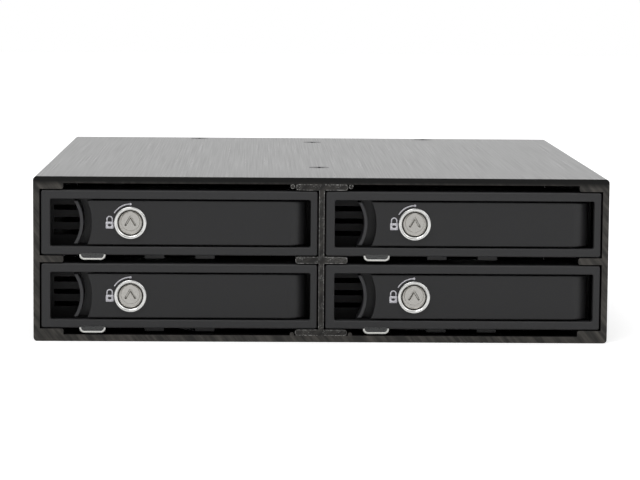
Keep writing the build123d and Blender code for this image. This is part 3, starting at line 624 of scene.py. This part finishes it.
chrome = plated_metal("bright_chrome", "#e6e6e4", roughness=0.09, grain=0.8)
satin_nickel = plated_metal("satin_nickel", "#c9c7c2", roughness=0.3, grain=0.22)
for bay in BAYS:
    finish_node(f"lock_barrel_{bay}", chrome, 0.12)
    finish_node(f"lock_cam_{bay}", pin_steel, 0.08)
    face = [plug_points(box_centre(f"lock_barrel_{bay}"), node_box(f"lock_plug_{bay}")[0][1])]
    plug = surface_piece(f"keyed_plug_{bay}", face, satin_nickel, f"lock_{bay}")
    plug.data.set_sharp_from_angle(angle=SHARP_ANGLE)
    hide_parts(f"lock_plug_{bay}")

# A tray pan is pressed steel sheet in black electrophoretic paint, thin and satin. Its two
# tongues show under the bezel.
tray_paint = moulded("black_electrocoat", "#262627", roughness=0.38, texture=0.6)
for bay in BAYS:
    finish_node(f"tray_pan_{bay}", tray_paint, 0.08)
    finish_node(f"tray_screws_{bay}", black_oxide, 0.05)

# The light pipe is clear polycarbonate, so its body shows the dark inside of the cage. A raised lip
# round its lower end is pale grey, a painted highlight, and hangs as a pale bow under the bezel.
PIPE_COLOUR = "#6c6e6e"
LIP_SIZE = (6.6, 2.5)
LIP_WIDTH = 0.42
LIP_FRONT = 0.2
LIP_ENDS = (176, 364)
LIP_POINTS = 40           # an even number, so that none lies in the middle


def slot_points(width, height, start, end, count):
    """Points round a slot: an arc whose left and right halves are drawn apart to the full width."""
    arc = turn_points(height / 2, start, end, count)
    return arc + np.stack([np.sign(arc[:, 0]) * (width - height) / 2, np.zeros(count)], axis=-1)


def clear_polycarbonate():
    """Clear plastic that lets light through, with a trace of smoke."""
    material, tree = new_material("clear_polycarbonate")
    surfaced(tree, {
        "Base Color": linear(PIPE_COLOUR), "Roughness": 0.15,
        "IOR": 1.58, "Transmission Weight": 0.8,
    })
    return material


pipe_clear = clear_polycarbonate()
# Painted highlight: the lip's pale grey stands in for the light on the pipe's rounded edge.
painted_lip_highlight = moulded("pale_lip_painted_highlight", "#d6d6d2", roughness=0.35, texture=0.3, depth=0.005)
for bay in BAYS:
    finish_node(f"light_pipe_{bay}", pipe_clear, 0.15)
    centre = box_centre(f"light_pipe_{bay}")
    pipe_y = node_box(f"light_pipe_{bay}")[0][1]
    inner_size = [v - 2 * LIP_WIDTH for v in LIP_SIZE]
    inner, outer = (
        centre + slot_points(*size, *LIP_ENDS, LIP_POINTS) for size in (inner_size, LIP_SIZE)
    )
    lip = [ribbon(inner, outer, pipe_y - LIP_FRONT, pipe_y + LIP_FRONT, True)]
    surface_piece(f"pipe_lip_highlight_{bay}", lip, painted_lip_highlight, f"tray_{bay}")

# The camera stands a little left of the middle and looks slightly down, as in the photograph:
# its place and turns were worked out from the edges of the front and top faces.
CAMERA_AT = (-15.58, -734.8, 96.2)
YAW, PITCH, ROLL = -0.0230, -0.1057, -0.0079
LENS = 147.2
CLIP = (0.01, 20)         # metres

camera = bpy.data.objects.new("camera", bpy.data.cameras.new("camera"))
bpy.context.scene.collection.objects.link(camera)
camera.data.lens = LENS
camera.data.clip_start, camera.data.clip_end = CLIP
camera.matrix_world = (
    Matrix.Translation([v * MM for v in CAMERA_AT])
    @ Matrix.Rotation(YAW, 4, "Z") @ Matrix.Rotation(PITCH, 4, "X") @ Matrix.Rotation(ROLL, 4, "Y")
    @ Matrix.Rotation(math.pi / 2, 4, "X")
)
bpy.context.scene.camera = camera

# A white table in a white room: the room is dimmer on the camera's side, one broad soft lamp
# hangs over the front, and a weaker one fills in from the right.
FLOOR_HALF = 2.0          # metres
FLOOR_LIFT = 0.42         # light of its own that the camera sees on the table
ROOM_SIDES = (-0.92, -0.3)
ROOM_LIGHT = (0.25, 1.06)
MATT_SHARE = 0.8          # part of the room's light that reaches matt faces
LAMPS = (                 # name, place and size in metres, and power in watts
    ("key", (-0.5, -0.9, 1.5), 1.0, 8.0), ("fill", (0.9, -0.8, 0.9), 0.8, 2.5),
)


def white_floor():
    """Matt white that still shows the object's shadow, lifted a little for the camera."""
    material, tree = new_material("white_table")
    seen = add(tree, "ShaderNodeLightPath").outputs["Is Camera Ray"]
    matt = add(tree, "ShaderNodeBsdfDiffuse", {"Color": linear("#f4f4f4")})
    lift = add(tree, "ShaderNodeEmission", {
        "Color": linear("#ffffff"), "Strength": stepped(tree, seen, 0, 1, 0, FLOOR_LIFT),
    })
    both = add(tree, "ShaderNodeAddShader", {0: matt.outputs[0], 1: lift.outputs[0]})
    add(tree, "ShaderNodeOutputMaterial", {"Surface": both.outputs[0]})
    return material


floor_mesh = bpy.data.meshes.new("table")
floor_corners = np.array([(-1, -1, 0), (1, -1, 0), (1, 1, 0), (-1, 1, 0)]) * FLOOR_HALF
floor_mesh.from_pydata(floor_corners.tolist(), [], [(0, 1, 2, 3)])
floor_mesh.materials.append(white_floor())
table = bpy.data.objects.new("table", floor_mesh)
bpy.context.scene.collection.objects.link(table)

world = bpy.data.worlds.new("white_room")
world.use_nodes = True
bpy.context.scene.world = world
tree = world.node_tree
tree.nodes.clear()
seen = add(tree, "ShaderNodeLightPath")
where = add(tree, "ShaderNodeTexCoord").outputs["Generated"]
depth = add(tree, "ShaderNodeSeparateXYZ", {"Vector": where}).outputs["Y"]
room = stepped(tree, depth, *ROOM_SIDES, *ROOM_LIGHT)
light = mix_values(tree, seen.outputs["Is Glossy Ray"], times(tree, room, MATT_SHARE), room)
light = mix_values(tree, seen.outputs["Is Camera Ray"], light, 1.0)
background = add(tree, "ShaderNodeBackground", {"Color": linear("#ffffff"), "Strength": light})
add(tree, "ShaderNodeOutputWorld", {"Surface": background.outputs[0]})

for name, place, size, power in LAMPS:
    data = bpy.data.lights.new(name, "AREA")
    data.shape = "SQUARE"
    data.size = size
    data.energy = power
    lamp = bpy.data.objects.new(name, data)
    lamp.location = place
    lamp.rotation_euler = (-Vector(place)).to_track_quat("-Z", "Y").to_euler()
    bpy.context.scene.collection.objects.link(lamp)

bpy.context.scene.view_settings.view_transform = "Standard"
